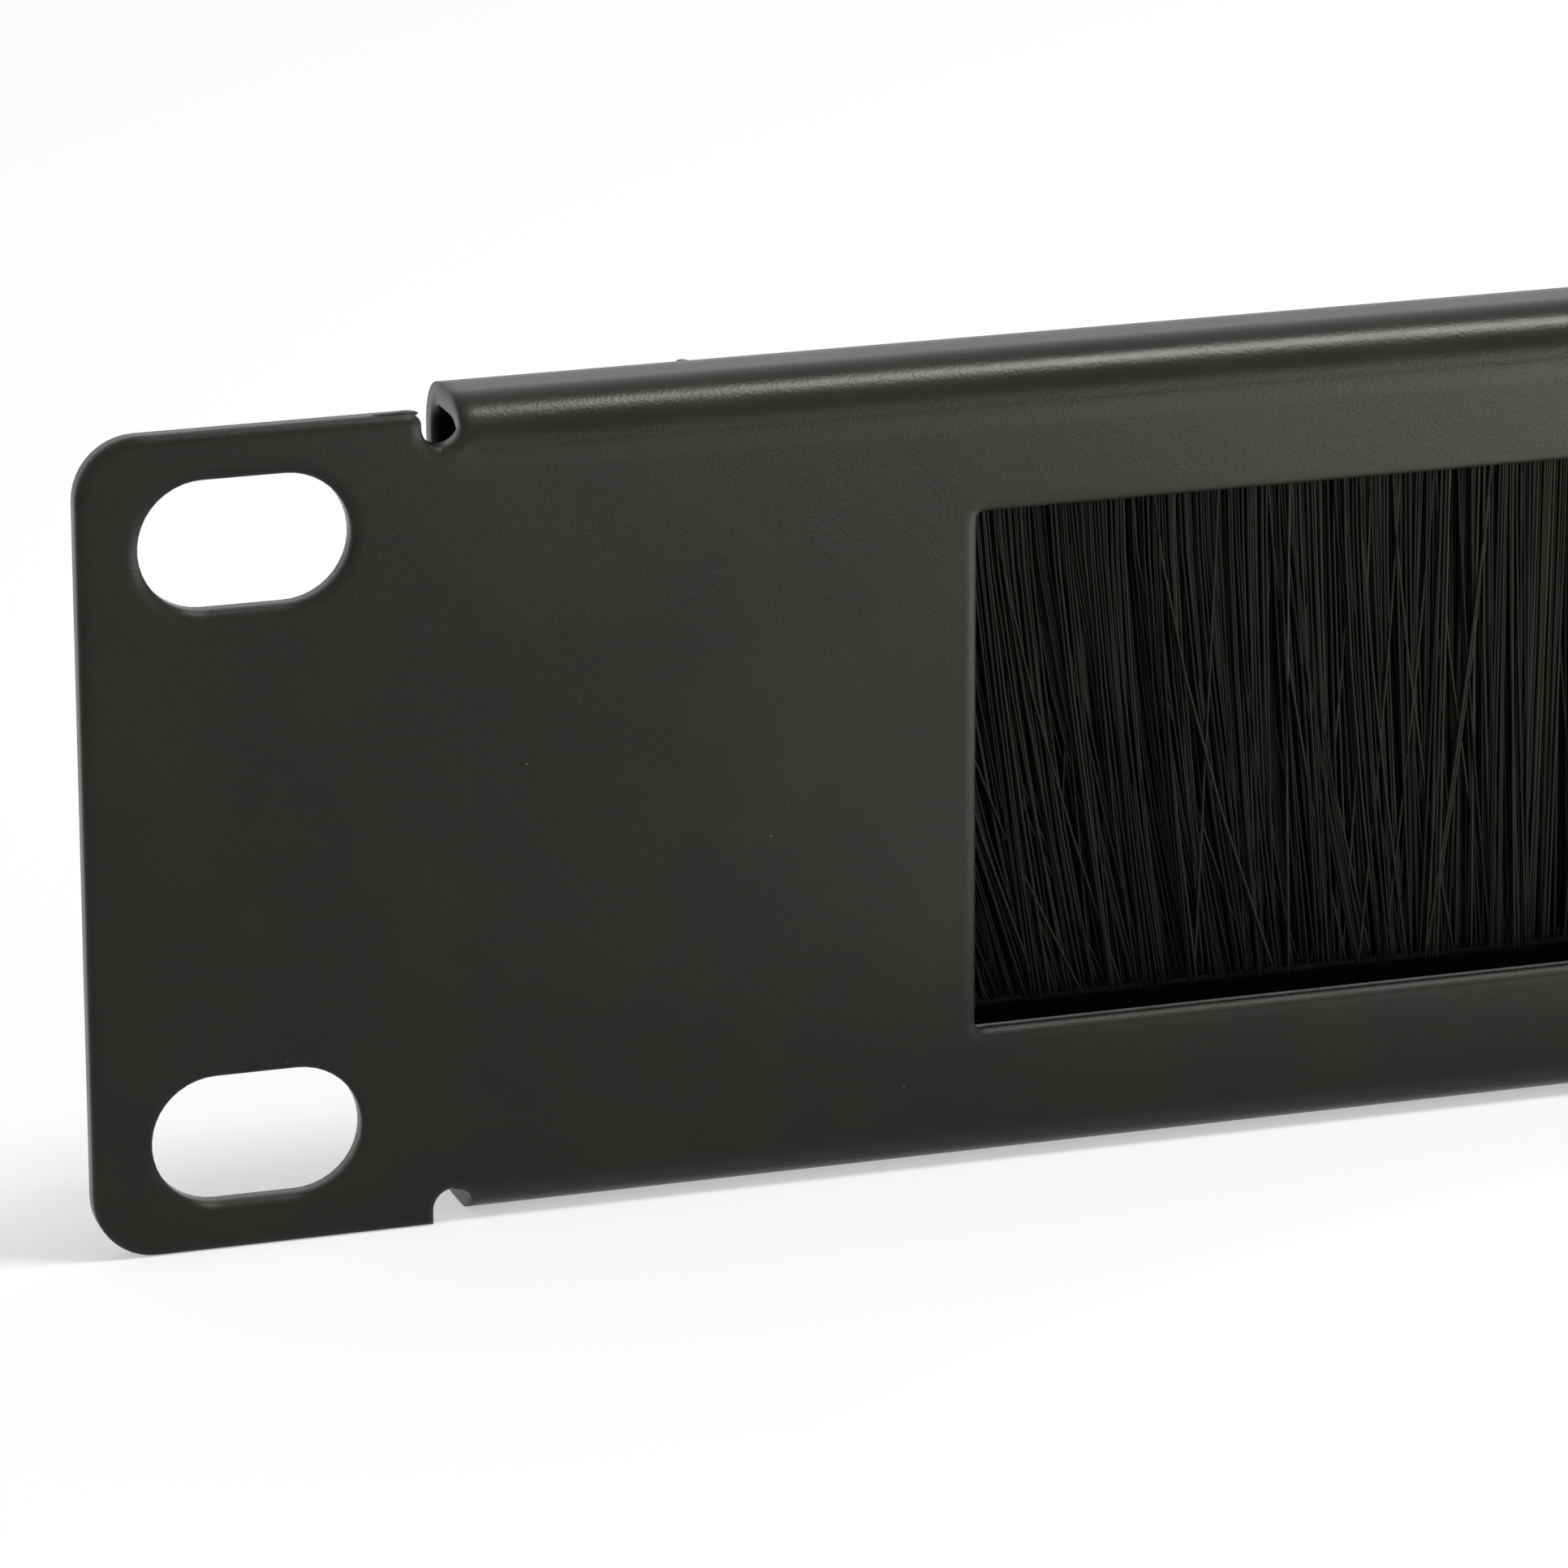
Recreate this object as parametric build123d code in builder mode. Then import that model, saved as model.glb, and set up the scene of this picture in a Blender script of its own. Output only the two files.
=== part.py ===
from build123d import *
import math
import os
import random

os.makedirs("parts", exist_ok=True)

# Frame, in millimetres: X to the right seen from the front, Z up, the front faces -Y.
# The origin is the centre of the four rack slots, on the rear face of the ears.

# Sheet and outline
panel_width = 482.6
ear_height = 43.65
sheet = 1.2
ear_corner_radius = 3.3
edge_round = 0.3
rear_edge_break = 0.2

# Folds along the top and the bottom edge
fold_depth = 7.2
fold_rise = 0.165
fold_lift = 0.21
bend_radius = 2.6
lip_edge_round = 0.35

# Rack slots
slot_inset_x = 8.75
slot_inset_z = 5.95
slot_width = 6.9
slot_length = 11.2

# Bend reliefs between the ears and the folds
relief_width = 2.2
relief_straight = 0.75
relief_inset = 19.2
relief_corner_round = 0.6

# Window
window_inset_x = 47.95
window_inset_z = 7.625
window_drop = 0.15
window_corner_radius = 0.4
lip_below_window = 0.2

# Strip brush in the top fold
strip_inset = 31.3
channel_wall = 0.6
channel_height = 5.2
channel_corner_radius = 1.6
mouth_gap = 2.8
crimp_height = 1.2
wire_diameter = 1.4
wire_cover = 1.0
wire_clearance = 0.02

# Bristle curtain
tip_clearance = 0.35
tip_thickness = 3.2
ridge_depth_at_mouth = 0.3
ridge_depth_at_tip = 1.0
clump_pitch = 3.56
fan_reach = 42.0
fan_shift = 10.5
shortest_slit = 4.0
longest_slit = 17.0
narrow_slit = 0.35
wide_slit = 0.9
tip_unevenness = 0.9

# Derived sizes and places
folded_height = ear_height + 2 * fold_rise
inner_bend_radius = bend_radius - sheet
slot_spacing_x = panel_width - 2 * slot_inset_x
slot_spacing_z = ear_height - 2 * slot_inset_z
window_width = panel_width - 2 * window_inset_x
window_height = ear_height - 2 * window_inset_z
lip_gap_height = window_height + 2 * lip_below_window
strip_length = panel_width - 2 * strip_inset
clump_count = round(strip_length / clump_pitch)
half_width = panel_width / 2
ear_top = ear_height / 2
fold_top = folded_height / 2 + fold_lift
front_y = -sheet
fold_rear_y = fold_depth - sheet
lip_inner_y = fold_rear_y - sheet
relief_depth = relief_straight + relief_width / 2
relief_x = half_width - relief_inset
fold_end_x = relief_x - relief_width / 2
channel_width = lip_inner_y
strip_y = channel_width / 2
channel_top = fold_top - sheet
channel_bottom = channel_top - channel_height
fill_top = channel_top - channel_wall
fill_half = channel_width / 2 - channel_wall
mouth_half = mouth_gap / 2
wire_z = fill_top - wire_cover - wire_diameter / 2
tip_z = -window_height / 2 - window_drop + tip_clearance
tip_half = tip_thickness / 2


# One flat ear, on the right, from the middle of its reliefs outwards
with BuildPart() as ear:
    with BuildSketch(Plane.XZ) as ear_outline:
        with Locations((relief_x + relief_inset / 2, 0)):
            Rectangle(relief_inset, ear_height)
        fillet(ear_outline.vertices().group_by(Axis.X)[-1], ear_corner_radius)
        for edge in (-1, 1):
            with Locations((relief_x, edge * (ear_top - relief_depth + relief_width / 2))):
                Circle(relief_width / 2, mode=Mode.SUBTRACT)
            with Locations((relief_x, edge * (ear_top + relief_width / 2))):
                Rectangle(relief_width, 2 * relief_depth, mode=Mode.SUBTRACT)
        # The upper corner beside the relief is round, and the lower one stays square
        upper_corners = ear_outline.vertices().group_by(Axis.Y)[-1]
        fillet(upper_corners.sort_by(Axis.X)[0], relief_corner_round)
    extrude(amount=sheet)
    with BuildSketch(Plane.XZ) as slots:
        with Locations((slot_spacing_x / 2, 0)):
            with GridLocations(0, slot_spacing_z, 1, 2):
                SlotOverall(slot_length, slot_width)
    extrude(amount=sheet, mode=Mode.SUBTRACT)

    # The punched and coated front edge is round
    front_face = ear.faces().filter_by(Axis.Y).sort_by(Axis.Y)[0]
    fillet(front_face.edges().filter_by(lambda line: line.center().X > relief_x + 0.01), edge_round)


def on_window_rim(line, face_y):
    """Whether an edge lies on the window's rim, in the sheet's front or rear face."""
    middle = line.center()
    return (
        abs(middle.Y - face_y) < 0.001
        and abs(middle.X) < window_width / 2 + 0.01
        and abs(middle.Z + window_drop) < window_height / 2 + 0.01
    )


# Folded steel panel
with BuildPart() as panel:
    # The folded middle: a C-shaped section of one sheet, run along the width
    with BuildSketch(Plane.YZ) as fold_section:
        with Locations((fold_depth / 2 - sheet, fold_lift)):
            RectangleRounded(fold_depth, folded_height, bend_radius)
            RectangleRounded(
                fold_depth - 2 * sheet,
                folded_height - 2 * sheet,
                inner_bend_radius,
                mode=Mode.SUBTRACT,
            )
        with Locations((fold_rear_y - sheet / 2, 0)):
            Rectangle(2 * sheet, lip_gap_height, mode=Mode.SUBTRACT)
        lip_corners = fold_section.vertices().filter_by_position(
            Axis.Y, -lip_gap_height / 2 - 0.01, lip_gap_height / 2 + 0.01
        ).filter_by_position(Axis.X, lip_inner_y - 0.01, fold_rear_y + 0.01)
        fillet(lip_corners, lip_edge_round)
    extrude(amount=relief_x, both=True)

    # The flanges and lips stop at the reliefs, where only the flat sheet goes on
    with BuildSketch(Plane.XZ) as beyond_folds:
        for side in (-1, 1):
            with Locations((side * (fold_end_x + relief_width / 2), fold_lift)):
                Rectangle(relief_width, folded_height)
    extrude(amount=-fold_depth, mode=Mode.SUBTRACT)

    # Round-ended bend reliefs, open to the top and bottom edges
    with BuildSketch(Plane.XZ) as reliefs:
        for side in (-1, 1):
            for edge in (-1, 1):
                with Locations((side * relief_x, edge * (ear_top - relief_depth + relief_width / 2))):
                    Circle(relief_width / 2)
                with Locations((side * relief_x, edge * (ear_top + relief_width / 2))):
                    Rectangle(relief_width, 2 * relief_depth)
    extrude(amount=2 * fold_depth, both=True, mode=Mode.SUBTRACT)

    add(ear.part)
    add(mirror(ear.part, about=Plane.YZ))

    # Window, with the round edge of punched and coated steel
    with BuildSketch(Plane.XZ) as window:
        with Locations((0, -window_drop)):
            RectangleRounded(window_width, window_height, window_corner_radius)
    extrude(amount=sheet, mode=Mode.SUBTRACT)
    front_rim = panel.edges().filter_by(lambda line: on_window_rim(line, front_y))
    fillet(front_rim, edge_round)
    rear_rim = panel.edges().filter_by(lambda line: on_window_rim(line, 0))
    chamfer(rear_rim, rear_edge_break)


def crimped_outline(inset, corner_radius):
    """Closed outline of the crimped channel, moved inwards by the inset."""
    half = channel_width / 2 - inset
    mouth = mouth_half + channel_wall - inset
    with BuildSketch() as outline:
        with BuildLine():
            Polyline(
                (strip_y - mouth, channel_bottom),
                (strip_y - half, channel_bottom + crimp_height),
                (strip_y - half, channel_top - inset),
                (strip_y + half, channel_top - inset),
                (strip_y + half, channel_bottom + crimp_height),
                (strip_y + mouth, channel_bottom),
                close=True,
            )
        make_face()
        fillet(outline.vertices().group_by(Axis.Y)[-1], corner_radius)
    return outline.sketch


# Crimped steel channel of the strip brush, clamped between the front sheet and the fold's lip
with BuildPart() as brush_channel:
    with BuildSketch(Plane.YZ) as channel_section:
        add(crimped_outline(0, channel_corner_radius))
        add(crimped_outline(channel_wall, channel_corner_radius - channel_wall), mode=Mode.SUBTRACT)
    extrude(amount=strip_length / 2, both=True)


# Core wire that the filaments are folded around
with BuildPart() as core_wire:
    with BuildSketch(Plane.YZ) as wire_section:
        with Locations((strip_y, wire_z)):
            Circle(wire_diameter / 2)
    extrude(amount=strip_length / 2, both=True)


def fan_offset(x):
    """How far a filament that leaves the mouth at x has moved towards the middle at its tip."""
    from_end = strip_length / 2 - abs(x)
    return -math.copysign(fan_shift * max(0.0, 1 - from_end / fan_reach), x)


def ridged_outline(borders, half_thickness, ridge_depth):
    """Outline of the filament row seen from above, with one ridge per clump and a valley between."""
    points = []
    for left, right in zip(borders, borders[1:]):
        points.append((left, half_thickness - ridge_depth))
        points.append((left + 0.45 * (right - left), half_thickness))
    points.append((borders[-1], half_thickness - ridge_depth))
    front = [(x, strip_y - y) for x, y in points]
    back = [(x, strip_y + y) for x, y in reversed(points)]
    with BuildSketch() as outline:
        with BuildLine():
            Polyline(*front, *back, close=True)
        make_face()
    return outline.sketch


# Borders between clumps, at the channel's mouth and at the tips
chance = random.Random(11)
weights = [chance.uniform(0.6, 1.4) for clump in range(clump_count)]
mouth_borders = [-strip_length / 2]
for weight in weights:
    mouth_borders.append(mouth_borders[-1] + strip_length * weight / sum(weights))
tip_borders = [x + fan_offset(x) + chance.uniform(-0.35, 0.35) for x in mouth_borders]

# The filament row below the channel, as one ridged wall that fans and thickens downwards
with BuildPart() as curtain:
    with BuildSketch(Plane.XY.offset(channel_bottom)):
        add(ridged_outline(mouth_borders, mouth_half, ridge_depth_at_mouth))
    with BuildSketch(Plane.XY.offset(tip_z)):
        add(ridged_outline(tip_borders, tip_half, ridge_depth_at_tip))
    loft(ruled=True)

    # Slits between the clumps and uneven tips, cut as one comb
    with BuildSketch(Plane.XZ) as comb:
        with BuildLine():
            teeth = [(-strip_length / 2, channel_bottom + 1), (-strip_length / 2, tip_z)]
            for number in range(clump_count):
                left = tip_borders[number]
                right = tip_borders[number + 1]
                half_slit = chance.uniform(narrow_slit, wide_slit) / 2
                teeth.append((left + half_slit, tip_z + chance.uniform(0.2, 1) * tip_unevenness))
                teeth.append((left + chance.uniform(0.4, 0.6) * (right - left), tip_z))
                teeth.append((right - half_slit, tip_z + chance.uniform(0.2, 1) * tip_unevenness))
                if number < clump_count - 1:
                    slit = chance.uniform(shortest_slit, longest_slit)
                    along = slit / (channel_bottom - tip_z)
                    teeth.append((right + along * (mouth_borders[number + 1] - right), tip_z + slit))
            teeth.append((strip_length / 2, tip_z))
            teeth.append((strip_length / 2, channel_bottom + 1))
            Polyline(*teeth, close=True)
        make_face()
    extrude(amount=2 * fold_depth, both=True, mode=Mode.INTERSECT)

with BuildPart() as bristles:
    # The folded ends of the filaments fill the channel around the wire
    with BuildSketch(Plane.YZ) as root_section:
        add(crimped_outline(channel_wall, channel_corner_radius))
        with Locations((strip_y, wire_z)):
            Circle(wire_diameter / 2 + wire_clearance, mode=Mode.SUBTRACT)
    extrude(amount=strip_length / 2, both=True)
    add(curtain.part)


panel.part.label = "panel"
export_step(panel.part, "parts/panel.step")
brush_channel.part.label = "brush_channel"
export_step(brush_channel.part, "parts/brush_channel.step")
core_wire.part.label = "core_wire"
export_step(core_wire.part, "parts/core_wire.step")
bristles.part.label = "bristles"
export_step(bristles.part, "parts/bristles.step")

for name, piece in (
    ("panel", panel.part),
    ("brush_channel", brush_channel.part),
    ("core_wire", core_wire.part),
    ("bristles", bristles.part),
):
    print(name, "solids", len(piece.solids()), "volume", round(piece.volume, 1), piece.bounding_box())
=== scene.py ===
# %% [markdown]
# # Rack brush strip panel: looks, light and camera
#
# This lesson dresses a CAD model of a 19-inch rack panel with a strip brush, so that a render
# matches a product photo. The CAD nodes stay where they are. The steel gets its finish from
# shader nodes, and the CAD's ridged brush gives way to thousands of modelled filaments.

# %% Load the frame
import math
import random

import bmesh
import bpy
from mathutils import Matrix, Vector


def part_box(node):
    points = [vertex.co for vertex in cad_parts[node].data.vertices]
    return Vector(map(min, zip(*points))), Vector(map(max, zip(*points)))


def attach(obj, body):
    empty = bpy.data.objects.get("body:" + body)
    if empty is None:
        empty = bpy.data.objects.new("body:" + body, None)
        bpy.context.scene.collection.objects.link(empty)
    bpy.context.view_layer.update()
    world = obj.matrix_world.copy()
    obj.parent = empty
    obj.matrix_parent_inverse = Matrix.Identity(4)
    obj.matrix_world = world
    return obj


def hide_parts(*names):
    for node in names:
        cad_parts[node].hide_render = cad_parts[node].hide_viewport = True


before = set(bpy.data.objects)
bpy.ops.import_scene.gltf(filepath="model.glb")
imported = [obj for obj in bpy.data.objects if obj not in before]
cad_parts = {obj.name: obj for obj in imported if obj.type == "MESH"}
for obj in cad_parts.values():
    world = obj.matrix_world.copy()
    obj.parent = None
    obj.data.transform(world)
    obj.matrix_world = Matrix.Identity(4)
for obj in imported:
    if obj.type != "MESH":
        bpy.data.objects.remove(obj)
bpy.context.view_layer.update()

print("nodes:", sorted(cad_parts))

# %% [markdown]
# ## Small helpers
#
# Blender's shader colours are linear, while a colour given here is sRGB, so one function turns a
# hex value into linear light. Another adds a shader node with its settings and links, which keeps
# each material readable as a list of nodes. The last puts a finished mesh into the scene, where its
# object stays at the origin, unturned and unscaled.

# %% Helpers
MM = 0.001


def linear(hex_value):
    """An sRGB hex colour such as "2a2c2a" as linear RGBA."""
    channels = [int(hex_value[i:i + 2], 16) / 255 for i in (0, 2, 4)]
    return [c / 12.92 if c <= 0.04045 else ((c + 0.055) / 1.055) ** 2.4 for c in channels] + [1.0]


def add_node(tree, kind, inputs=None, **settings):
    """Adds a node. An input's value is a constant, or another node's output socket to link from."""
    node = tree.nodes.new(kind)
    for name, value in settings.items():
        setattr(node, name, value)
    for name, value in (inputs or {}).items():
        if isinstance(value, bpy.types.NodeSocket):
            tree.links.new(value, node.inputs[name])
        else:
            node.inputs[name].default_value = value
    return node


def new_material(name):
    """An empty material and its node tree."""
    material = bpy.data.materials.new(name)
    material.use_nodes = True
    tree = material.node_tree
    tree.nodes.clear()
    return material, tree


def add_object(mesh, material):
    """An object in the scene for a finished mesh, with the mesh's name and one material."""
    mesh.materials.clear()
    mesh.materials.append(material)
    made = bpy.data.objects.new(mesh.name, mesh)
    bpy.context.scene.collection.objects.link(made)
    return made


print("white in linear light:", linear("ffffff"))

# %% [markdown]
# ## Black powder coat
#
# The panel is sprayed with polyester powder and baked. A black coat shows little of its own colour:
# what the eye sees is the reflection. The skin is satin, uneven like orange peel at about a
# millimetre, with a finer grain on top, which blurs every reflection into soft bands.
#
# The patterns are Noise textures on Object coordinates. A texture's scale counts its features per
# metre, so each scale is 1 over a real size. The widest pattern varies the colour and the roughness
# a little, because no coat is quite the same all over.

# %% Powder coat: patterns, colour and roughness
PEEL_MM = 1.1
GRAIN_MM = 0.2
MOTTLE_MM = 9.0

coat, tree = new_material("black satin powder coat")
place = add_node(tree, "ShaderNodeTexCoord").outputs["Object"]
mottle = add_node(tree, "ShaderNodeTexNoise", {
    "Vector": place, "Scale": 1 / (MOTTLE_MM * MM), "Detail": 3.0, "Roughness": 0.55})
peel = add_node(tree, "ShaderNodeTexNoise", {
    "Vector": place, "Scale": 1 / (PEEL_MM * MM), "Detail": 1.5, "Roughness": 0.5})
grain = add_node(tree, "ShaderNodeTexNoise", {
    "Vector": place, "Scale": 1 / (GRAIN_MM * MM), "Detail": 2.0, "Roughness": 0.6})
colour = add_node(tree, "ShaderNodeValToRGB", {"Fac": mottle.outputs["Fac"]})
ramp = colour.color_ramp
ramp.interpolation = "EASE"
for stop, position, shade in zip(ramp.elements, (0.35, 0.68), ("13140f", "191a14")):
    stop.position = position
    stop.color = linear(shade)
roughness = add_node(tree, "ShaderNodeMapRange", {
    "Value": mottle.outputs["Fac"],
    "From Min": 0.2, "From Max": 0.8, "To Min": 0.245, "To Max": 0.3},
    interpolation_type="SMOOTHSTEP")
print(coat.name, "starts with", len(tree.nodes), "nodes")

# %% [markdown]
# A few specks of dust are baked into the coat. Each has a place on the front, so only X and Z
# count. A row of Minimum nodes finds the distance to the nearest speck, and where that is less than
# its radius, a Mix node blends in the dust's grey. A Mix node has a set of sockets for each type of
# data, so those for colours are called by their numbers.

# %% Powder coat: dust
# x and z of each speck in mm
DUST = ((-217.9, 2.8), (-204.7, -2.4), (-231.0, -12.0), (-197.4, -17.0))
DUST_RADIUS_MM = 0.075
FACTOR, COLOUR_A, COLOUR_B, MIXED_COLOUR = 0, 6, 7, 2

parts = add_node(tree, "ShaderNodeSeparateXYZ", {"Vector": place})
on_face = add_node(tree, "ShaderNodeCombineXYZ", {
    "X": parts.outputs["X"], "Z": parts.outputs["Z"]})
nearest = 1.0  # metres, farther than any speck
for x, z in DUST:
    away = add_node(tree, "ShaderNodeVectorMath", {
        0: on_face.outputs["Vector"], 1: (x * MM, 0.0, z * MM)}, operation="DISTANCE")
    nearer = add_node(tree, "ShaderNodeMath", {
        0: away.outputs["Value"], 1: nearest}, operation="MINIMUM")
    nearest = nearer.outputs["Value"]
dust = add_node(tree, "ShaderNodeMapRange", {
    "Value": nearest, "From Min": DUST_RADIUS_MM * MM, "From Max": 0.5 * DUST_RADIUS_MM * MM})
dusted = add_node(tree, "ShaderNodeMix", {
    FACTOR: dust.outputs["Result"], COLOUR_A: colour.outputs["Color"], COLOUR_B: linear("5a5850")},
    data_type="RGBA")
print(len(DUST), "specks of dust,", 2 * DUST_RADIUS_MM, "mm wide")

# %% [markdown]
# The normals start at a Bevel node, which rounds them at sharp edges: the punch draws the sheet
# down a little and the molten powder rounds it, so each rim catches a soft light without a denser
# mesh.
#
# Two Bump nodes then shape the steel at the top fold. A pressed bend is tightest in its middle and
# runs out almost flat, and the face below it springs back a little. Together they give a second,
# fainter band of light under the bright line of the bend. Their height depends on Z, and fades out
# along X where the fold ends.

# %% Powder coat: rims and fold
EDGE_MM = 0.95
# z where the form starts and ends, and its height, all in mm
FLATTEN = (19.7, 20.9, 0.11)
SPRING_BACK = (18.4, 20.4, 0.07)
FOLD_END_MM = 221.6
FOLD_END_SOFT_MM = 1.6

normal = add_node(tree, "ShaderNodeBevel", {"Radius": EDGE_MM * MM}, samples=8).outputs["Normal"]
aside = add_node(tree, "ShaderNodeMath", {0: parts.outputs["X"]}, operation="ABSOLUTE")
folded = add_node(tree, "ShaderNodeMapRange", {
    "Value": aside.outputs["Value"],
    "From Min": FOLD_END_MM * MM, "From Max": (FOLD_END_MM - FOLD_END_SOFT_MM) * MM},
    interpolation_type="SMOOTHSTEP")
for (start, end, height), inward in ((FLATTEN, False), (SPRING_BACK, True)):
    near_fold = add_node(tree, "ShaderNodeMapRange", {
        "Value": parts.outputs["Z"], "From Min": start * MM, "From Max": end * MM},
        interpolation_type="SMOOTHSTEP")
    bent = add_node(tree, "ShaderNodeMath", {
        0: near_fold.outputs["Result"], 1: folded.outputs["Result"]}, operation="MULTIPLY")
    bump = add_node(tree, "ShaderNodeBump", {
        "Height": bent.outputs["Value"], "Distance": height * MM, "Normal": normal},
        invert=inward)
    normal = bump.outputs["Normal"]
print("fold shaped from z =", SPRING_BACK[0], "to", FLATTEN[1], "mm")

# %% [markdown]
# The coat's own unevenness comes last, coarse before fine, because each Bump node tilts the normals
# that it gets from the one before. The coat's fine roughness swallows part of every reflection,
# hence the low specular level.

# %% Powder coat: skin
PEEL_DEPTH_MM = 0.009
GRAIN_DEPTH_MM = 0.012

for pattern, depth in ((peel, PEEL_DEPTH_MM), (grain, GRAIN_DEPTH_MM)):
    bump = add_node(tree, "ShaderNodeBump", {
        "Height": pattern.outputs["Fac"], "Distance": depth * MM, "Normal": normal})
    normal = bump.outputs["Normal"]
skin = add_node(tree, "ShaderNodeBsdfPrincipled", {
    "Base Color": dusted.outputs[MIXED_COLOUR], "Roughness": roughness.outputs["Result"],
    "IOR": 1.5, "Specular IOR Level": 0.235, "Specular Tint": linear("fdfff8"), "Normal": normal})
add_node(tree, "ShaderNodeOutputMaterial", {"Surface": skin.outputs["BSDF"]})
print(coat.name, "has", len(tree.nodes), "nodes")

# %% [markdown]
# ## Steel of the brush's channel and core wire
#
# The channel is rolled from galvanised strip: a cool metal, dulled and faintly cloudy from the zinc.
# The core wire is bright drawn wire. Both sit inside the fold, so only glimpses show from the ends.

# %% Metal materials
CLOUD_MM = 4.0
DRAW_LINE_MM = 0.4

zinc, tree = new_material("galvanised strip steel")
place = add_node(tree, "ShaderNodeTexCoord").outputs["Object"]
cloud = add_node(tree, "ShaderNodeTexNoise", {
    "Vector": place, "Scale": 1 / (CLOUD_MM * MM), "Detail": 4.0, "Roughness": 0.6})
tone = add_node(tree, "ShaderNodeValToRGB", {"Fac": cloud.outputs["Fac"]})
tone.color_ramp.elements[0].color = linear("8f9294")
tone.color_ramp.elements[1].color = linear("b9bcbd")
dull = add_node(tree, "ShaderNodeMapRange", {
    "Value": cloud.outputs["Fac"], "To Min": 0.34, "To Max": 0.52})
metal = add_node(tree, "ShaderNodeBsdfPrincipled", {
    "Base Color": tone.outputs["Color"], "Metallic": 1.0, "Roughness": dull.outputs["Result"]})
add_node(tree, "ShaderNodeOutputMaterial", {"Surface": metal.outputs["BSDF"]})

wire_steel, tree = new_material("bright drawn wire")
place = add_node(tree, "ShaderNodeTexCoord").outputs["Object"]
draw_lines = add_node(tree, "ShaderNodeTexNoise", {
    "Vector": place, "Scale": 1 / (DRAW_LINE_MM * MM), "Detail": 2.0})
shine = add_node(tree, "ShaderNodeMapRange", {
    "Value": draw_lines.outputs["Fac"], "To Min": 0.2, "To Max": 0.34})
metal = add_node(tree, "ShaderNodeBsdfPrincipled", {
    "Base Color": linear("a9a9a6"), "Metallic": 1.0, "Roughness": shine.outputs["Result"]})
add_node(tree, "ShaderNodeOutputMaterial", {"Surface": metal.outputs["BSDF"]})
print(zinc.name, "and", wire_steel.name)

# %% [markdown]
# ## Nylon filament
#
# Extruded black nylon is smooth, so each round filament carries a thin streak of light along its
# length and is nearly black beside it. No two filaments are quite as dark, so each one stores a
# tone on its mesh, which an Attribute node reads here. The core row always has the darkest tone,
# which is painted shade for the depth of the brush. A paler filament is smoother too.

# %% Nylon material
TONE = "tone"

nylon, tree = new_material("black nylon filament")
tone = add_node(tree, "ShaderNodeAttribute", attribute_name=TONE)
# The dark end of this ramp is also painted shade, because the core row always gets it.
dye_and_painted_shade = add_node(tree, "ShaderNodeValToRGB", {"Fac": tone.outputs["Fac"]})
dye_and_painted_shade.color_ramp.elements[0].color = linear("060605")
dye_and_painted_shade.color_ramp.elements[1].color = linear("1c1c18")
polish = add_node(tree, "ShaderNodeMapRange", {
    "Value": tone.outputs["Fac"], "To Min": 0.5, "To Max": 0.3})
fibre = add_node(tree, "ShaderNodeBsdfPrincipled", {
    "Base Color": dye_and_painted_shade.outputs["Color"], "Roughness": polish.outputs["Result"], "IOR": 1.53,
    "Specular IOR Level": 0.095, "Specular Tint": linear("fdfff2")})
add_node(tree, "ShaderNodeOutputMaterial", {"Surface": fibre.outputs["BSDF"]})
print(nylon.name, "reads the attribute", TONE)

# %% [markdown]
# ## Finish on the CAD pieces
#
# The panel, the channel and the wire keep their CAD mesh and only change material.

# %% Assign the finishes
FINISHES = {
    "panel": (coat, "powder_coat"),
    "brush_channel": (zinc, "galvanised_steel"),
    "core_wire": (wire_steel, "steel_wire"),
}
for node, (material, slot) in FINISHES.items():
    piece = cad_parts[node]
    piece.data.materials.clear()
    piece.data.materials.append(material)
    low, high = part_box(node)
    print(node, "size in mm:", [round(v / MM, 2) for v in high - low])

# %% [markdown]
# ## Beads of paint
#
# The coat gathers where it drips: two flat beads sit on the ear's top edge beside the relief, and a
# nub on the fold's rear edge. Each is a small sphere, flattened and half sunk into the steel.

# %% Paint beads
# middle and half sizes of each bead in mm
BEADS = (
    ((-223.95, -0.5, 21.78), (0.7, 0.5, 0.13)),
    ((-224.8, -0.5, 21.78), (1.0, 0.5, 0.09)),
    ((-207.66, 4.16, 22.02), (0.35, 0.55, 0.075)),
)
work = bmesh.new()
for middle, half in BEADS:
    ball = bmesh.ops.create_uvsphere(work, u_segments=20, v_segments=12, radius=MM)
    bmesh.ops.scale(work, vec=half, verts=ball["verts"])
    bmesh.ops.translate(work, vec=[c * MM for c in middle], verts=ball["verts"])
mesh = bpy.data.meshes.new("paint_beads")
work.to_mesh(mesh)
work.free()
mesh.shade_smooth()
beads = add_object(mesh, coat)
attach(beads, "root")
print(len(BEADS), "beads,", len(mesh.polygons), "faces")

# %% [markdown]
# ## The filaments
#
# The strip's filaments hang from the channel's mouth. They leave it straight and evenly packed,
# then gather into clumps, so dark wedges open between the clumps lower down. Near the strip's ends
# the whole row fans towards the middle, and here and there a stray crosses over its neighbours.
#
# The clumps stand where the CAD brush has its ridges, because the same seed and sizes give their
# borders. Each wedge between two clumps has half a width and a height, both in mm like all that
# follows.

# %% Clump borders at the mouth and at the tips
low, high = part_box("brush_channel")
MOUTH_Z = low.z / MM
STRIP_Y = (low.y + high.y) / 2 / MM
STRIP_HALF = high.x / MM
TIP_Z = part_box("bristles")[0].z / MM
CLUMP_PITCH = 3.56
CLUMP_WEIGHTS = (0.6, 1.4)
BORDER_PLAY = 0.35
WEDGE_HALVES = (0.15, 0.6)
WEDGE_HEIGHTS = (8, 24)
FAN_SHIFT = 7.5
FAN_REACH = 50.0


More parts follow.
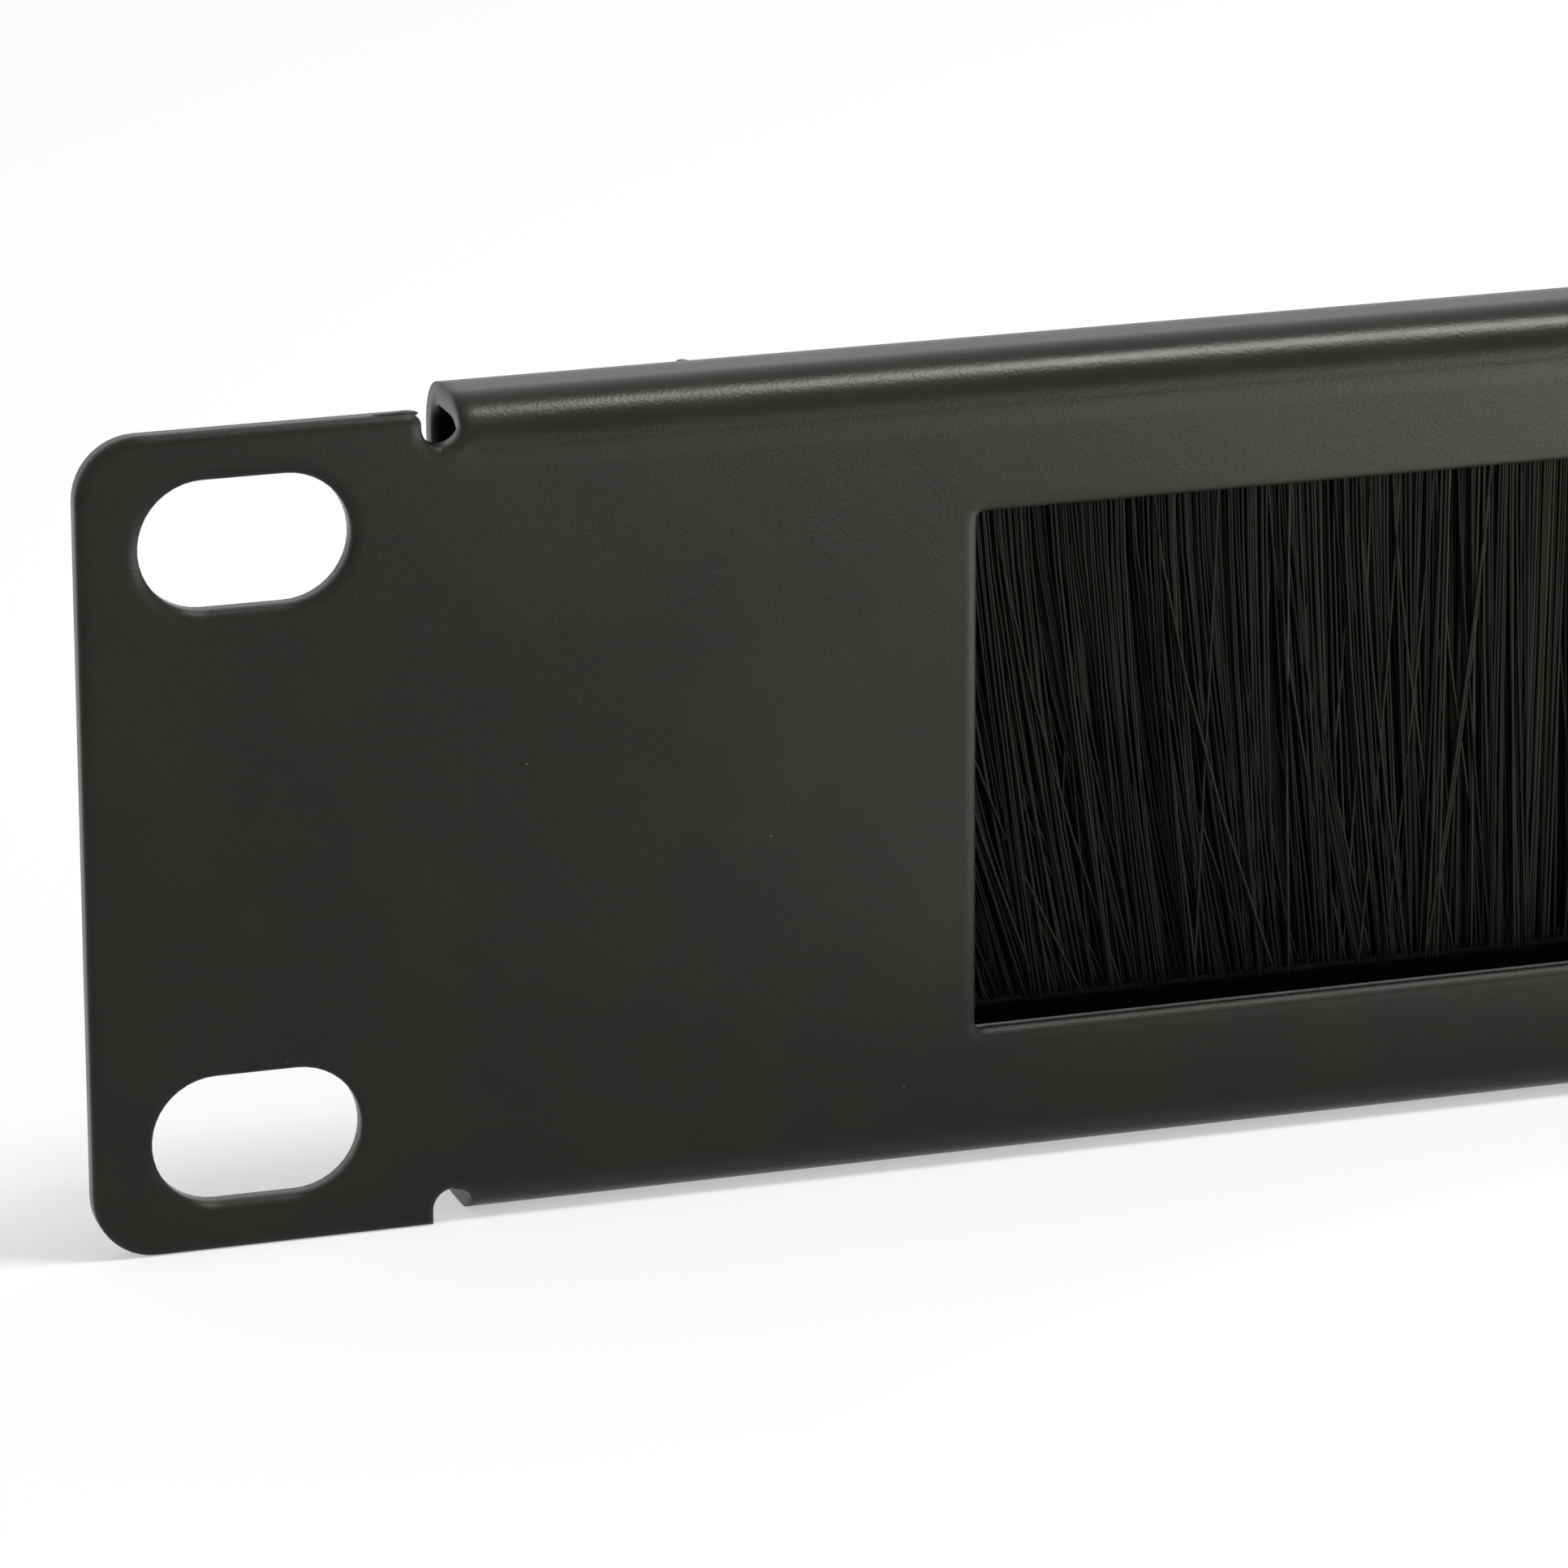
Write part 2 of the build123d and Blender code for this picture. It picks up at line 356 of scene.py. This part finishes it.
def fan(x):
    """Sideways run of a filament's tip towards the middle, for one rooted at x."""
    return -math.copysign(FAN_SHIFT * max(0.0, 1 - (STRIP_HALF - abs(x)) / FAN_REACH), x)


chance = random.Random(11)
clump_count = round(2 * STRIP_HALF / CLUMP_PITCH)
weights = [chance.uniform(*CLUMP_WEIGHTS) for clump in range(clump_count)]
mouth_borders = [-STRIP_HALF]
for weight in weights:
    mouth_borders.append(mouth_borders[-1] + 2 * STRIP_HALF * weight / sum(weights))
tip_borders = [x + fan(x) + chance.uniform(-BORDER_PLAY, BORDER_PLAY) for x in mouth_borders]
wedges = [
    (chance.uniform(*WEDGE_HALVES), chance.uniform(*WEDGE_HEIGHTS)) for border in mouth_borders]
print(clump_count, "clumps, the first", round(mouth_borders[1] - mouth_borders[0], 1), "mm wide")

# %% [markdown]
# A filament's path runs from just inside the mouth (step 0) to its tip (step 1). Four things move
# it sideways, most of them low down, because nylon is springy and leaves the mouth straight: the
# fan, the pull towards the middle of its clump, the pull towards the middle of its tuft, and a lean
# that the whole tuft shares. A tuft is a millimetre or so of neighbours that stick together.
#
# A power of the step makes each of them start late: the higher the power, the later. The brush is
# thicker on a clump's crest than in the valleys beside it, and spreads a little towards the tips.

# %% The path of one filament
STEPS = (0.0, 0.22, 0.45, 0.7, 0.97, 1.0)
ROOT_INSIDE = 1.0
MOUTH_HALF = 1.28
TIP_HALF = 1.49
VALLEY = 0.8
CREST = 0.45
WEDGE_POWER = 1.3
LEAN_POWER = 1.4


def filament_path(x, depth, clump, tuft, short):
    """Points in mm. Depth runs from -1 (front) to 1 (back). Short is how far the tip stays up."""
    left, right = mouth_borders[clump], mouth_borders[clump + 1]
    across = (x - left) / (right - left)
    tip_x = tip_borders[clump] + across * (tip_borders[clump + 1] - tip_borders[clump])
    gap, height = wedges[clump + (1 if across > 0.5 else 0)]
    top, bottom = MOUTH_Z + ROOT_INSIDE, TIP_Z + short
    wedge_top = 1 - height / (top - bottom)
    rise = 1 - abs(across - CREST) / (1 - CREST)
    gather = tuft["gather"] * (tuft["middle"] - x)
    path = []
    for step in STEPS:
        drawn = max(0.0, (step - wedge_top) / (1 - wedge_top)) ** WEDGE_POWER
        sideways = tuft["fan"] * (tip_x - x) * step ** tuft["bow"]
        sideways += (gather + tuft["lean"]) * step ** LEAN_POWER
        sideways -= (across - 0.5) * 2 * gap * drawn * tuft["pull"]
        half = MOUTH_HALF + (TIP_HALF - VALLEY * (1 - rise) - MOUTH_HALF) * step
        path.append((x + sideways, STRIP_Y + depth * half, top + (bottom - top) * step))
    return path


print("path length in mm:", round(MOUTH_Z + ROOT_INSIDE - TIP_Z, 1))

# %% [markdown]
# Each filament is one spline, whose bevel gives it its thickness. That keeps its path easy to
# write, and one curve holds thousands of them. With a bevel resolution of 0 the section is a
# square, which is enough at a fifth of a millimetre. The last millimetre narrows, because a blunt
# square end would show.

# %% Curves that hold the splines
FILAMENT_RADIUS = 0.1
TIP_NARROWING = 0.45
SECTIONS = 5

sections = []
for number in range(SECTIONS):
    curve = bpy.data.curves.new("filaments_%d" % number, "CURVE")
    curve.dimensions = "3D"
    curve.bevel_depth = FILAMENT_RADIUS * MM
    curve.bevel_resolution = 0
    sections.append((curve, []))


def add_filament(path, thickness, tone):
    """Adds one spline to the section where its root is, and notes its tone."""
    share = (path[0][0] + STRIP_HALF) / (2 * STRIP_HALF)
    curve, tones = sections[min(SECTIONS - 1, int(share * SECTIONS))]
    spline = curve.splines.new("POLY")
    spline.points.add(len(path) - 1)
    for point, spot in zip(spline.points, path):
        point.co = (*(c * MM for c in spot), 1.0)
        point.radius = thickness
    spline.points[-1].radius = TIP_NARROWING * thickness
    tones.append(tone)


print(SECTIONS, "sections, each", round(2 * STRIP_HALF / SECTIONS, 1), "mm wide")

# %% [markdown]
# The filaments stand in rows from front to back, each row with its own density. The core row hangs
# straight and hides what is behind, as the thickness of the real brush does. It also has the
# darkest dye, as painted shade for the depth of the brush, so the gaps between the tufts in front
# of it look black. The two rows at the back are cut almost evenly, and the others end a little
# higher here and there. Roots are spread evenly with a little play, which leaves no bald spot.

# %% All the splines
ROWS = (
    # name, filaments per mm, depth from and to, spread of the lean, share of strays, spread of tips
    ("front", 6, -1.0, -0.5, 0.8, 0.1, 0.6),
    ("second", 6, -0.75, -0.2, 0.7, 0.07, 0.6),
    ("middle", 6, -0.3, 0.05, 0.5, 0.03, 0.5),
    ("core", 12, 0.15, 0.35, 0.0, 0.0, 0.1),
    ("back", 11, 0.6, 1.0, 0.12, 0.04, 0.1),
)
TUFT_WIDTHS = (0.35, 1.5)
STRAY_LEANS = (0.8, 4.5)
THICKNESSES = (0.88, 1.08)
THINNING = 1


def new_tuft(start, front, back, spread, tips):
    """What the neighbours in a tuft share. It starts at x = start."""
    width = chance.uniform(*TUFT_WIDTHS)
    return {
        "end": start + width, "middle": start + width / 2,
        "gather": spread * chance.uniform(0.2, 0.8), "lean": chance.gauss(0, spread),
        "bow": 1.5 + spread * chance.uniform(-0.45, 0.35),
        "fan": 1.0 + chance.gauss(0, 0.25 * spread), "pull": min(1.0, 2 * spread),
        "depth": chance.uniform(front, back), "short": tips * chance.uniform(0.0, 0.5)}


for name, density, front, back, spread, strays, tips in ROWS:
    total = round(2 * STRIP_HALF * density / THINNING)
    clump = 0
    tuft = {"end": -STRIP_HALF}
    for number in range(total):
        x = -STRIP_HALF + 2 * STRIP_HALF * (number + chance.uniform(0.1, 0.9)) / total
        while clump < clump_count - 1 and x > mouth_borders[clump + 1]:
            clump += 1
        if x >= tuft["end"]:
            tuft = new_tuft(x, front, back, spread, tips)
        depth = 0.6 * tuft["depth"] + 0.4 * chance.uniform(front, back)
        # The core row always gets the darkest dye, as painted shade for the depth of the brush.
        tone = 0.0 if name == "core" else chance.random() ** 1.8
        strand = {**tuft, "lean": tuft["lean"] + chance.gauss(0, 0.4 * spread)}
        if chance.random() < strays:
            lean = chance.choice((-1, 1)) * chance.uniform(*STRAY_LEANS)
            strand = {**tuft, "lean": lean, "gather": 0.0}
            tone = 1.0
        short = tuft["short"] + tips * chance.uniform(0.0, 0.5)
        path = filament_path(x, depth, clump, strand, short)
        add_filament(path, chance.uniform(*THICKNESSES), tone)
    print(name, "row:", total, "filaments")

# %% [markdown]
# The curves are turned into meshes so that they export like the rest. A filament's points lie
# together in its mesh, four round each point of its path, so its tone is written once for all of
# them. Together the sections stand for the CAD brush, which is then hidden.

# %% Filament meshes
for curve, tones in sections:
    holder = bpy.data.objects.new("filament_curve", curve)
    bpy.context.scene.collection.objects.link(holder)
    shaped = holder.evaluated_get(bpy.context.evaluated_depsgraph_get())
    mesh = bpy.data.meshes.new_from_object(shaped)
    bpy.data.objects.remove(holder)
    mesh.name = curve.name.replace("filaments", "bristles")
    mesh.shade_smooth()
    each = len(mesh.vertices) // len(tones)
    stored = mesh.attributes.new(TONE, "FLOAT", "POINT")
    stored.data.foreach_set("value", [tone for tone in tones for corner in range(each)])
    piece = add_object(mesh, nylon)
    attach(piece, "root")
    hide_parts("bristles")
    print(piece.name, len(mesh.polygons) * 2, "triangles,", each, "points a filament")

# %% [markdown]
# ## Floor
#
# A product table: matt white paper on frosted glass, with lights under it, so two stretches of it
# glow. The wide one lies in front and to the right, and the panel mirrors it just below the bend
# and over its face. The small one lies close in front, and the panel mirrors it low down.
#
# A Gradient texture of the spherical kind falls from 1 in its middle to 0 at its rim. A Mapping
# node of the Texture type puts that middle in place and stretches it to a reach.
#
# The paper also glows faintly wherever the camera or a reflection sees it. That keeps it white as
# in an airy studio picture, while the lamp's shadow still shows on it.

# %% Table paper
FLOOR_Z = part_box("panel")[0].z
PAPER_GLOW = 0.47
TABLE_LIGHTS = (
    # middle and reach on the table in metres, strength in the middle
    ((0.09, -0.23), (0.33, 0.22), 30.0),
    ((-0.09, -0.05), (0.13, 0.05), 10.0),
)


def seen_directly(tree):
    """A socket that is 1 for rays from the camera, a reflection or a clear material, and else 0."""
    ray = add_node(tree, "ShaderNodeLightPath")
    seen = ray.outputs["Is Camera Ray"]
    for kind in ("Is Glossy Ray", "Is Transmission Ray"):
        either = add_node(tree, "ShaderNodeMath", {0: seen, 1: ray.outputs[kind]}, operation="MAXIMUM")
        seen = either.outputs["Value"]
    return seen


paper, tree = new_material("white table paper")
place = add_node(tree, "ShaderNodeTexCoord").outputs["Object"]
haze = add_node(tree, "ShaderNodeMath", {0: seen_directly(tree), 1: PAPER_GLOW}, operation="MULTIPLY")
strength = haze.outputs["Value"]
for middle, reach, peak in TABLE_LIGHTS:
    centred = add_node(tree, "ShaderNodeMapping", {
        "Vector": place, "Location": (*middle, FLOOR_Z), "Scale": (*reach, 1.0)},
        vector_type="TEXTURE")
    patch = add_node(tree, "ShaderNodeTexGradient", {"Vector": centred.outputs["Vector"]},
        gradient_type="QUADRATIC_SPHERE")
    added = add_node(tree, "ShaderNodeMath", {
        0: patch.outputs["Fac"], 1: peak, 2: strength}, operation="MULTIPLY_ADD")
    strength = added.outputs["Value"]
glow = add_node(tree, "ShaderNodeEmission", {"Color": linear("ffffff"), "Strength": strength})
sheet = add_node(tree, "ShaderNodeBsdfDiffuse", {"Color": linear("cccccc")})
both = add_node(tree, "ShaderNodeAddShader", {
    0: sheet.outputs["BSDF"], 1: glow.outputs["Emission"]})
add_node(tree, "ShaderNodeOutputMaterial", {"Surface": both.outputs["Shader"]})
print(paper.name, "with", len(TABLE_LIGHTS), "stretches of light")

# %% [markdown]
# The floor lies level with the panel's lowest edge, and reaches far enough to be mirrored whole.

# %% Floor
FLOOR_HALF = 4.0

work = bmesh.new()
bmesh.ops.create_grid(work, x_segments=1, y_segments=1, size=FLOOR_HALF)
bmesh.ops.translate(work, vec=(0, 0, FLOOR_Z), verts=work.verts)
mesh = bpy.data.meshes.new("floor")
work.to_mesh(mesh)
work.free()
floor = add_object(mesh, paper)
print("floor at", round(FLOOR_Z / MM, 2), "mm")

# %% [markdown]
# ## Light
#
# One soft box hangs over the panel, a little in front of it and to the right of its middle. Its
# reflection is the bright line along the bend: the line's height on the bend gives the box's place,
# and the line's width and softness give the box's depth and the coat's roughness.

# %% Soft box
BOX_PLACE = Vector((0.13, -0.13, 0.75))
BOX_TILT = math.radians(10)
BOX_TURN = math.radians(-20)
BOX_WIDTH = 0.29
BOX_DEPTH = 0.2
BOX_RADIANCE = 24.0

light = bpy.data.lights.new("soft box", "AREA")
light.shape = "RECTANGLE"
light.size = BOX_WIDTH
light.size_y = BOX_DEPTH
light.energy = BOX_RADIANCE * math.pi * BOX_WIDTH * BOX_DEPTH
soft_box = bpy.data.objects.new("soft box", light)
soft_box.location = BOX_PLACE
soft_box.rotation_euler = (BOX_TILT, 0, BOX_TURN)
bpy.context.scene.collection.objects.link(soft_box)
print("soft box of", round(light.energy, 2), "W")

# %% [markdown]
# The world is a white room. It is white for the camera and for reflections, and gives the rest a
# dimmer, even fill.

# %% World
ROOM_FILL = 0.44

world = bpy.data.worlds.new("white room")
bpy.context.scene.world = world
world.use_nodes = True
tree = world.node_tree
tree.nodes.clear()
level = add_node(tree, "ShaderNodeMapRange", {
    "Value": seen_directly(tree), "To Min": ROOM_FILL, "To Max": 1.0})
room = add_node(tree, "ShaderNodeBackground", {
    "Color": linear("ffffff"), "Strength": level.outputs["Result"]})
add_node(tree, "ShaderNodeOutputWorld", {"Surface": room.outputs["Background"]})
bpy.context.scene.view_settings.view_transform = "Standard"
print("room fill", ROOM_FILL)

# %% [markdown]
# ## Camera
#
# The camera stands to the panel's left and a little above it, just under half a metre from the
# part that shows. The picture covers only a small angle, so the lens is long, and its middle is
# off the lens axis, which the small shift repeats. Matching the panel's known sizes to its edges
# in the photo gave these values.

# %% Camera
CAMERA_PLACE = (-0.342817, -0.430278, 0.138803)
AZIMUTH = math.radians(18.624)
ELEVATION = math.radians(16.951)
SENSOR_MM = 36
# The photo's width, the focal length and the lens axis's place, all in the photo's pixels
PHOTO_SIZE = 1932
FOCAL_PX = 11165
AXIS_X_PX = 1095.6
AXIS_Y_PX = 943.4

camera_data = bpy.data.cameras.new("camera")
camera_data.sensor_width = SENSOR_MM
camera_data.lens = SENSOR_MM * FOCAL_PX / PHOTO_SIZE
camera_data.shift_x = -(AXIS_X_PX - PHOTO_SIZE / 2) / PHOTO_SIZE
camera_data.shift_y = (AXIS_Y_PX - PHOTO_SIZE / 2) / PHOTO_SIZE
camera_data.clip_start = 0.01
camera = bpy.data.objects.new("camera", camera_data)
level_run = math.cos(ELEVATION)
view = Vector((
    math.sin(AZIMUTH) * level_run, math.cos(AZIMUTH) * level_run, -math.sin(ELEVATION)))
camera.location = CAMERA_PLACE
camera.rotation_euler = view.to_track_quat("-Z", "Y").to_euler()
bpy.context.scene.collection.objects.link(camera)
bpy.context.scene.camera = camera
print("lens", round(camera_data.lens, 1), "mm")
